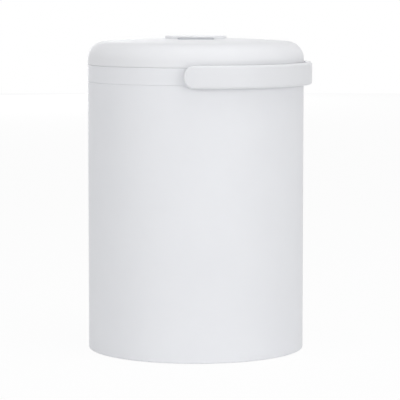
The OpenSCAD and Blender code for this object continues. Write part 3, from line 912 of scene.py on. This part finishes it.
@dataclass
class LidAssembly:
    """The lid's shell with its two scoops, the cups under them, the liner and the seal."""

    radius: float = BODY_RADIUS
    foot: float = 331.1
    shoulder_centre: tuple[float, float] = (105.5, 338.1)
    shoulder: float = 19.5
    shoulder_steps: int = 18
    crown_top: float = 361.4
    dome_steps: int = 10
    wall: float = BODY_WALL
    seat_radius: float = 36.0
    seam_round: float = SEAM_ROUND
    scoop_centre: tuple[float, float] = (28.05, 370.66)
    scoop_radius: float = 24.0
    scoop_half: float = 21.0
    scoop_reach: float = 50.0
    scoop_corner: float = 9.0
    scoop_fillet: float = 2.5
    scoop_steps: int = 144
    plan_height: float = 40.0
    cup_wall: float = 2.5
    cup_room: float = 0.1
    lip: float = 1.3
    lip_half: float = 24.0
    lip_near: float = 28.0
    lip_far: float = 54.0
    window_height: float = 18.0
    spigot: float = 104.6
    seal_low: float = 322.95
    seal_high: float = 327.85
    seal_reach: float = 105.7

    @property
    def shoulder_top(self) -> float:
        """Height of the shoulder's top, before the crown's rise."""
        return self.shoulder_centre[1] + self.shoulder

    @property
    def dome(self) -> float:
        """Radius of the crown's dome, which runs into the shoulder without a corner."""
        reach, rise = self.shoulder_centre[0], self.crown_top - self.shoulder_top
        return self.shoulder + (reach * reach + rise * rise) / (2 * rise)

    @property
    def seat_height(self) -> float:
        """Height of the flat that the grip cap lies on."""
        return self.crown_top - self.dome + math.sqrt(self.dome ** 2 - self.seat_radius ** 2)

    def draw(self, section: Section, wall: float) -> Section:
        """Draw the shoulder, the dome and the flat, from the side up to the axis.

        Args:
            section: the section that stands at the foot of the shoulder.
            wall: how far the line lies inside the lid's outer surface.

        Returns:
            The same section.
        """
        tilt = math.degrees(math.asin(self.shoulder_centre[0] / (self.dome - self.shoulder)))
        flat = math.degrees(math.asin(self.seat_radius / (self.dome - wall)))
        section.arc(self.shoulder_centre, 90.0 - tilt, self.shoulder_steps)
        section.arc((0.0, self.crown_top - self.dome), tilt - flat, self.dome_steps)
        return section.line(0.0, self.seat_height - wall)

    def solid_of(self, wall: float) -> Solid:
        """Turn the room inside the lid down to its foot.

        Args:
            wall: how far the room lies inside the lid's outer surface.

        Returns:
            The solid.
        """
        low, side = self.foot - 1.0, self.radius - wall
        section = Section(0.0, low).line(side, low).line(side, self.shoulder_centre[1])
        return self.draw(section, wall).turned()

    def scoop(self, grown: float, rounding: float) -> Solid:
        """Make the front scoop's space.

        Args:
            grown: how far it is grown all round.
            rounding: fillet between its floor and its sides.

        Returns:
            The solid.
        """
        half, far = self.scoop_half + grown, self.scoop_reach + grown + 1.0
        near, corner = grown - BAR_HALF, self.scoop_corner + grown
        reach, height = self.scoop_centre
        plan = Solid.plate([
            (-half, near, 0.0), (-half, -far, corner), (half, -far, corner), (half, near, 0.0),
        ], self.plan_height, 12).moved(z=height - self.scoop_radius - 10.0)
        barrel = pin(self.scoop_radius + grown, -half - 2.0, half + 2.0, steps=self.scoop_steps)
        barrel.spun(90.0, Axis.Y).moved(y=-reach, z=height)
        floor_line = height - 3.0
        return plan.combined(barrel, Cut.COMMON).rounded(
            rounding, 5, lambda middle: middle.z < floor_line)

    def pad_window(self) -> Solid:
        """Make the room that a release pad moves in."""
        return Solid.block(PAD_HALF + PAD_ROOM, (-BAR_HALF - 3.0, -WINDOW_BACK),
                           (PAD_LOW - PAD_ROOM, PAD_LOW + self.window_height))

    def on_lip(self, middle: Vector) -> bool:
        """Say whether an edge, given by its middle, is on the upper rim of a scoop."""
        return (middle.z > self.seat_height - 1.0 and abs(middle.x) < self.lip_half
                and self.lip_near < abs(middle.y) < self.lip_far)

    def build(self) -> None:
        """Build and dress the lid's pieces."""
        self.build_shell()
        for facing in Facing:
            self.build_cup(facing)
        self.build_seal()
        keep(INNER_WHITE, "lid_liner")

    def build_shell(self) -> None:
        """Turn the shell and open the two scoops with soft lips."""
        section = Section(self.radius, self.foot, self.seam_round)
        section.line(self.radius, self.shoulder_centre[1])
        shell = self.draw(section, 0.0).turned().minus(self.solid_of(self.wall))
        for facing in Facing:
            shell = shell.minus(self.scoop(0.0, self.scoop_fillet).spun(facing.value))
        shell.rounded(self.lip, 4, self.on_lip)
        for facing in Facing:
            shell = shell.minus(self.pad_window().spun(facing.value))
        seat(shell.piece("lid_crown"), "lid", WHITE_LID, "lid_shell")

    def build_cup(self, facing: Facing) -> None:
        """Build the finger cup that closes a scoop from below.

        Args:
            facing: the cup's side.
        """
        cup = self.scoop(self.cup_wall, self.scoop_fillet + self.cup_wall)
        cup = cup.combined(self.solid_of(self.wall + self.cup_room), Cut.COMMON)
        cup = cup.minus(self.scoop(0.0, self.scoop_fillet)).minus(self.pad_window())
        cup.spun(facing.value)
        name = f"finger_cup_{facing.word}"
        seat(cup.piece(f"scoop_{facing.word}"), "lid", WHITE_LID, name)

    def build_seal(self) -> None:
        """Turn the seal with its two soft lips."""
        root, low, high = self.spigot - 1.6, self.seal_low, self.seal_high
        seal = Section(root, low, 0.2).lines([
            (self.spigot + 0.1, low + 0.1, 0.1), (self.seal_reach, low + 1.1, 0.25),
            (self.seal_reach, low + 1.6, 0.25), (self.spigot + 0.3, low + 2.3, 0.25),
            (self.spigot + 0.3, high - 2.3, 0.25), (self.seal_reach, high - 1.6, 0.25),
            (self.seal_reach, high - 1.1, 0.25), (self.spigot + 0.1, high - 0.1, 0.1),
            (root, high, 0.2),
        ]).turned(arc_steps=3)
        seat(seal.piece("lid_lip_seal"), "lid", RUBBER, "lid_seal")


@dataclass
class GripAssembly:
    """The round grip cap, with the slot under its edge at the front and the rear."""

    radius: float = 35.5
    low: float = 360.96
    high: float = 363.86
    edge: float = 1.0
    slot_half: float = 21.0
    slot_height: float = 1.1
    slot_round: float = 0.45
    lip: float = 0.3
    lip_half: float = 24.0

    def on_lip(self, middle: Vector) -> bool:
        """Say whether an edge, given by its middle, is on the lower rim of a slot."""
        return (middle.z < self.low + 2.0 and abs(middle.y) > BAR_HALF + 2.0
                and abs(middle.x) < self.lip_half)

    def build(self) -> None:
        """Turn the cap and cut its slots."""
        cap = Section(0.0, self.low).lines([
            (self.radius, self.low, 0.15), (self.radius, self.high, self.edge),
            (0.0, self.high, 0.0)
        ]).turned()
        heights = (self.low - 2.0, self.low + self.slot_height)
        for side in (facing.sign for facing in Facing):
            slot = Solid.block(self.slot_half, (side * BAR_HALF, side * (self.radius + 2.0)),
                               heights, self.slot_round)
            room = Solid.block(PAD_HALF + PAD_ROOM, (side * WINDOW_BACK, side * (BAR_HALF + 1.0)),
                               heights)
            cap = cap.minus(slot).minus(room)
        cap.rounded(self.lip, 2, self.on_lip)
        seat(cap.piece("grip_disc"), "lid", WHITE_LID, "grip_cap")


@dataclass
class ScrewSet:
    """Pan-head screws with a cross recess, all alike."""

    shank: float = 1.5
    head: float = 3.4
    head_height: float = 2.0
    pitch: float = 1.0
    thread_depth: float = 0.35
    recess_half: float = 1.9
    recess_width: float = 0.84
    recess_depth: float = 1.1
    turn_step: float = 37.0
    cap_screw: float = 4.4
    cap_corner: tuple[float, float, float] = (28.5, 8.0, 358.16)
    liner_screw: float = 11.5
    liner_count: int = 6
    liner_circle: float = 90.0
    liner_height: float = 331.4
    pivot_screw: float = 13.5
    pivot_reach: float = 113.3

    def one(self, length: float) -> Solid:
        """Make one screw, its head over z = 0 and its shank below.

        Args:
            length: length of the shank.

        Returns:
            The screw.
        """
        core, top = self.shank - self.thread_depth, self.head_height
        section = Section(0.0, -length).line(core * 0.4, -length).line(core, 0.8 - length)
        turns = int((length - 1.6) / self.pitch)
        for i in range(turns):
            z = 1.0 - length + i * self.pitch
            section.lines([(self.shank, z, 0.0), (self.shank, z + 0.15, 0.0),
                           (core, z + 0.5, 0.0), (core, z + 0.85, 0.0)])
        screw = section.lines([
            (self.shank, -0.3, 0.0), (self.shank, 0.0, 0.0), (self.head, 0.0, 0.15),
            (self.head, top * 0.45, 0.3), (self.head * 0.72, top, 0.6), (0.0, top, 0.0),
        ]).turned(SMALL_STEPS, 3)
        wide = self.recess_width / 2
        for turn in (0.0, 90.0):
            recess = Solid.block(self.recess_half, (-wide, wide),
                                 (top - self.recess_depth, top + 1.0), 0.12, 1)
            screw = screw.minus(recess.spun(turn))
        return screw

    def place(self, name: str, body: str, node: str, length: float,
              places: Sequence[tuple[float, float, float]], tip: TipTo) -> None:
        """Put copies of a screw at their places.

        Args:
            name: name of the piece.
            body: the body that it rides on.
            node: the CAD node that it replaces.
            length: length of the shanks.
            places: middle of the underside of each head.
            tip: way in which the tips point.
        """
        model, turn = self.one(length), self.turn_step * (1 + len(places))
        screws = [model.copy().spun(turn).spun(tip.value, Axis.X).moved(*spot)
                  for spot in places]
        for other in screws[1:]:
            screws[0].beside(other)
        seat(screws[0].piece(name), body, STEEL, node)

    def build(self) -> None:
        """Build every set of screws of the bin."""
        across, along, height = self.cap_corner
        cap = [(x, y, height) for x in (-across, across) for y in (-along, along)]
        self.place("cap_screws", "lid", "grip_screws", self.cap_screw, cap, TipTo.UP)
        circle = [(self.liner_circle * math.cos(a), self.liner_circle * math.sin(a),
                   self.liner_height)
                  for a in (math.tau * i / self.liner_count for i in range(self.liner_count))]
        self.place("liner_plate_screws", "lid", "liner_screws", self.liner_screw, circle,
                   TipTo.UP)
        for facing in Facing:
            spot = (0.0, facing.sign * self.pivot_reach, PIVOT_HEIGHT)
            self.place(f"{facing.word}_pivot_screw", "handle", f"pivot_screw_{facing.word}",
                       self.pivot_screw, [spot], TipTo[facing.name])


@dataclass
class LatchAssembly:
    """The squeeze latch of one side: pad, slide and spring."""

    facing: Facing
    pad_front: float = 34.0
    pad_back: float = 26.5
    pad_core: float = 10.0
    pad_high: float = 361.76
    ridges: int = 3
    ridge_depth: float = 0.5
    ridge_start: float = 0.8
    plain_band: float = 2.5
    travel: float = 4.0
    spring_inner: float = 37.3
    spring_length: float = 17.4
    spring_radius: float = 2.3
    wire: float = 0.4
    wire_sides: int = 10
    curls: int = 8
    curl_steps: int = 24
    spring_height: float = 337.7

    def build(self) -> None:
        """Build and dress the side's latch."""
        self.build_pad()
        self.build_spring()
        keep(PAD_BLUE, f"latch_slide_{self.facing.word}")

    def build_pad(self) -> None:
        """Turn the pad's round face with three finger ridges, and cut the pad out of it."""
        low, high, band = PAD_LOW, self.pad_high, self.pad_high - self.plain_band
        face, dip = self.pad_front, self.pad_front - self.ridge_depth
        pitch = (band - low - self.ridge_start) / self.ridges
        section = Section(self.pad_core, low).line(dip, low, 0.5)
        for i in range(self.ridges):
            z = low + self.ridge_start + i * pitch
            section.lines([(dip, z, 0.1), (face, z + 0.5, 0.3),
                           (face, z + pitch - 0.8, 0.3), (dip, z + pitch - 0.3, 0.1)])
        section.lines([(dip, band, 0.1), (face, band + 0.4, 0.2), (face, high, 0.3),
                       (self.pad_core, high, 0.0)])
        room = Solid.block(PAD_HALF, (-face - 2.0, -self.pad_back), (low - 1.0, high + 1.0))
        pad = section.turned(arc_steps=3).combined(room, Cut.COMMON)
        pad.rounded(0.4, 3, lambda middle: abs(middle.x) > PAD_HALF - 0.01)
        pad.spun(self.facing.value)
        seat(pad.piece(f"squeeze_pad_{self.facing.word}"), f"{self.facing.word}_latch",
             PAD_BLUE, f"release_pad_{self.facing.word}")

    def build_spring(self) -> None:
        """Screw a round wire into the spring."""
        bm = bmesh.new()
        half = self.spring_length / 2 - self.wire
        ring = bmesh.ops.create_circle(bm, segments=self.wire_sides, radius=self.wire)["verts"]
        bmesh.ops.rotate(bm, verts=ring, cent=ZERO, matrix=Matrix.Rotation(math.pi / 2, 3, "X"))
        bmesh.ops.translate(bm, verts=ring, vec=(self.spring_radius, 0.0, -half))
        steps = self.curl_steps * self.curls
        bmesh.ops.spin(bm, geom=bm.verts[:] + bm.edges[:], cent=ZERO,
                       axis=(0.0, 0.0, 1.0), dvec=(0.0, 0.0, 2 * half / steps),
                       angle=math.tau * self.curls, steps=steps, use_merge=False,
                       use_duplicate=False)
        ends = [edge for edge in bm.edges if edge.is_boundary]
        bmesh.ops.holes_fill(bm, edges=ends, sides=self.wire_sides)
        bmesh.ops.recalc_face_normals(bm, faces=bm.faces[:])
        spring = Solid(bm).spun(90.0, Axis.X)
        middle = self.spring_inner + self.spring_length / 2
        spring.moved(y=-middle, z=self.spring_height).spun(self.facing.value)
        item = spring.piece(f"return_spring_{self.facing.word}")
        seat(item, "lid", STEEL, f"latch_spring_{self.facing.word}")
        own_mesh(item)


@dataclass
class HandleAssembly:
    """The bow handle with its round ends, studs and inner cover."""

    inner: float = 128.5
    thickness: float = 6.3
    height: float = 26.0
    rounding: float = 2.8
    inner_rounding: float = 0.8
    end_reach: float = 13.6
    end_corner: float = 12.0
    bow_strips: int = 113
    cover_degrees: float = 68.0
    cover_height: float = 17.6
    cover_depth: float = 2.3
    cover_room: float = 0.1
    cover_strips: int = 81
    stud: float = 6.0
    stud_end: float = 115.1
    stud_root: float = 1.6
    stud_steps: int = 72
    flange: float = 9.4
    flange_face: float = 126.3
    screw_hole: float = 1.55

    @property
    def outer(self) -> float:
        """Radius of the band's outer face, along which its lengths are true."""
        return self.inner + self.thickness

    def flat_band(self, half: float, high: float, depth: float, corner: float) -> Solid:
        """Make a straight band along X, with its thickness along Y and its height along Z.

        Args:
            half: half its length.
            high: its height.
            depth: its thickness, from y = 0 outwards.
            corner: radius of its round ends.

        Returns:
            The band.
        """
        band = Solid.plate([
            (-half, -high / 2, corner), (half, -high / 2, corner),
            (half, high / 2, corner), (-half, high / 2, corner)
        ], depth, 12)
        return band.spun(90.0, Axis.X).moved(y=depth)

    def build(self) -> None:
        """Build and dress the handle's pieces."""
        self.build_bow()
        self.build_cover()
        keep(STEEL, "pivot_washer_front", "pivot_washer_rear")

    def build_bow(self) -> None:
        """Round the flat band, open the cover's seat, bend it and put on the studs."""
        half = self.outer * math.pi / 2 + self.end_reach
        band = self.flat_band(half, self.height, self.thickness, self.end_corner)
        band.rounded(self.rounding, 7, lambda middle: middle.y > self.thickness - 0.01)
        band.rounded(self.inner_rounding, 3, lambda middle: middle.y < 0.01)
        reach = math.radians(self.cover_degrees + 0.1) * self.outer
        rise = self.cover_height / 2 + self.cover_room
        room = Solid.block(reach, (-1.0, self.cover_depth + self.cover_room), (-rise, rise))
        band = band.minus(room)
        band.strips(-half + 2.0, half - 2.0, self.bow_strips).bent(self.inner, self.outer)
        band.moved(z=PIVOT_HEIGHT)
        for facing in Facing:
            band = band.plus(self.stud_at(facing))
        # The bow wears the handle white, which has painted shade in its colour.
        seat(band.piece("carry_bow"), "handle", WHITE_HANDLE_SHADED, "handle_bow")

    def stud_at(self, facing: Facing) -> Solid:
        """Turn a stud with its flange.

        Args:
            facing: the stud's side.

        Returns:
            The stud, in place.
        """
        root = self.inner + self.stud_root
        stud = Section(self.screw_hole, self.stud_end, 0.2).lines([
            (self.stud, self.stud_end, 0.6), (self.stud, self.flange_face, 0.0),
            (self.flange, self.flange_face, 0.4), (self.flange, root, 0.0),
            (self.screw_hole, root, 0.0)
        ]).turned(self.stud_steps, 3)
        return stud.spun(90.0, Axis.X).moved(z=PIVOT_HEIGHT).spun(facing.value)

    def build_cover(self) -> None:
        """Bend the strip that closes the bow from inside."""
        measured = self.inner + self.cover_room
        half = math.radians(self.cover_degrees) * measured
        strip = self.flat_band(half, self.cover_height, self.cover_depth - self.cover_room, 0.8)
        strip.rounded(0.35, 2)
        strip.strips(-half + 1.0, half - 1.0, self.cover_strips).bent(measured, measured)
        strip.moved(z=PIVOT_HEIGHT)
        seat(strip.piece("bow_cover_strip"), "handle", TRIM_WHITE, "handle_inner_cover")


@dataclass
class BagRingAssembly:
    """The ring that traps the bag's edge, with its two finger tabs."""

    bore: float = 93.0
    outer: float = 103.2
    shelf: float = 303.1
    flange: float = 3.0
    skirt: float = 3.0
    skirt_low: float = 292.1
    lip_in: float = 101.0
    lip_top: float = 308.6
    tab_in: float = 93.5
    tab_out: float = 96.2
    tab_top: float = 316.1
    tab_corner: float = 4.5
    tab_degrees: float = 10.0
    tab_strips: int = 15

    def build(self) -> None:
        """Turn the ring and put on its tabs."""
        top, skirt = self.shelf + self.flange, self.bore + self.skirt
        ring = Section(self.bore, self.skirt_low, 1.2).lines([
            (skirt, self.skirt_low, 1.2), (skirt, self.shelf, 0.8), (self.outer, self.shelf, 0.4),
            (self.outer, self.lip_top, 0.9), (self.lip_in, self.lip_top, 0.9),
            (self.lip_in, top, 0.9), (self.bore, top, 1.1)
        ]).turned(arc_steps=4)
        half, depth = math.radians(self.tab_degrees) * self.tab_out, self.tab_out - self.tab_in
        low = self.shelf + 1.0
        for turn in (0.0, 180.0):
            tab = Solid.plate([
                (-half, low, 0.0), (half, low, 0.0), (half, self.tab_top, self.tab_corner),
                (-half, self.tab_top, self.tab_corner)
            ], depth).spun(90.0, Axis.X).moved(y=depth)
            tab.rounded(0.7, 3, lambda middle: middle.z > low + 0.1)
            tab.strips(-half + 1.0, half - 1.0, self.tab_strips).bent(self.tab_in, self.tab_out)
            ring = ring.plus(tab.spun(turn))
        seat(ring.piece("bag_clamp_ring"), "bag_ring", TRIM_WHITE, "bag_ring")


@dataclass
class ScentAssembly:
    """The vented cover under the lid and the scented block in it."""

    radius: float = 37.0
    low: float = 313.4
    high: float = 331.1
    wall: float = 2.0
    cover_steps: int = 120
    vents: int = 12
    vent_width: float = 3.0
    vent_reach: tuple[float, float] = (0.3, 0.75)
    puck_radius: float = 29.0
    puck_height: float = 8.0
    puck_steps: int = 96
    lugs: int = 3
    lug_inner: float = 33.3
    lug_high: float = 325.1
    lug_height: float = 2.0
    lug_degrees: float = 24.0
    lug_root: float = 0.6
    lug_strips: int = 9

    def build(self) -> None:
        """Build and dress the cover and the block."""
        self.build_cover()
        self.build_puck()

    def build_cover(self) -> None:
        """Turn the cover, cut its vents and put on the bayonet lugs."""
        inner, floor = self.radius - self.wall, self.low + self.wall
        cover = Section(0.0, self.low).lines([
            (self.radius, self.low, 1.8), (self.radius, self.high, 0.4),
            (inner, self.high, 0.4), (inner, floor, 1.0), (0.0, floor, 0.0)
        ]).turned(self.cover_steps)
        near, far = (self.radius * share for share in self.vent_reach)
        half = self.vent_width / 2
        bend = half * 0.98
        slot = Solid.plate([
            (near, -half, bend), (far, -half, bend), (far, half, bend), (near, half, bend)
        ], self.wall + 2.0, 6).moved(z=self.low - 1.0)
        for i in range(self.vents):
            cover = cover.minus(slot.copy().spun(360.0 * i / self.vents))
        heights = (self.lug_high - self.lug_height, self.lug_high)
        depth = inner + self.lug_root - self.lug_inner
        arc = math.radians(self.lug_degrees) * inner / 2
        for i in range(self.lugs):
            lug = Solid.block(arc, (0.0, depth), heights, 0.3, 2)
            lug.strips(-arc + 0.5, arc - 0.5, self.lug_strips).bent(self.lug_inner, inner)
            cover = cover.plus(lug.spun(360.0 * i / self.lugs))
        seat(cover.piece("vented_cover"), "scent_cover", TRIM_WHITE, "scent_cover")

    def build_puck(self) -> None:
        """Turn the scented block, with a stepped top."""
        low = self.low + self.wall
        top = low + self.puck_height
        puck = Section(0.0, low).lines([
            (self.puck_radius, low, 1.5), (self.puck_radius, top - 1.0, 1.5),
            (self.puck_radius * 0.8, top - 1.0, 0.6), (self.puck_radius * 0.76, top, 0.8),
            (0.0, top, 0.0)
        ]).turned(self.puck_steps, 4)
        seat(puck.piece("scented_block"), "scent_cover", SCENT_WAX, "scent_puck")


def main() -> None:
    """Build the studio and every part of the bin in order."""
    logging.basicConfig(level=logging.INFO, format="%(name)s %(message)s")
    PhotoCamera().build()
    Studio().build()
    assemblies = (
        TubAssembly(), CollarAssembly(), LidAssembly(), GripAssembly(), ScrewSet(),
        LatchAssembly(Facing.FRONT), LatchAssembly(Facing.REAR), HandleAssembly(),
        BagRingAssembly(), ScentAssembly(),
    )
    for assembly in assemblies:
        assembly.build()
        LOG.info("%s done", type(assembly).__name__)


if __name__ == "__main__":
    main()
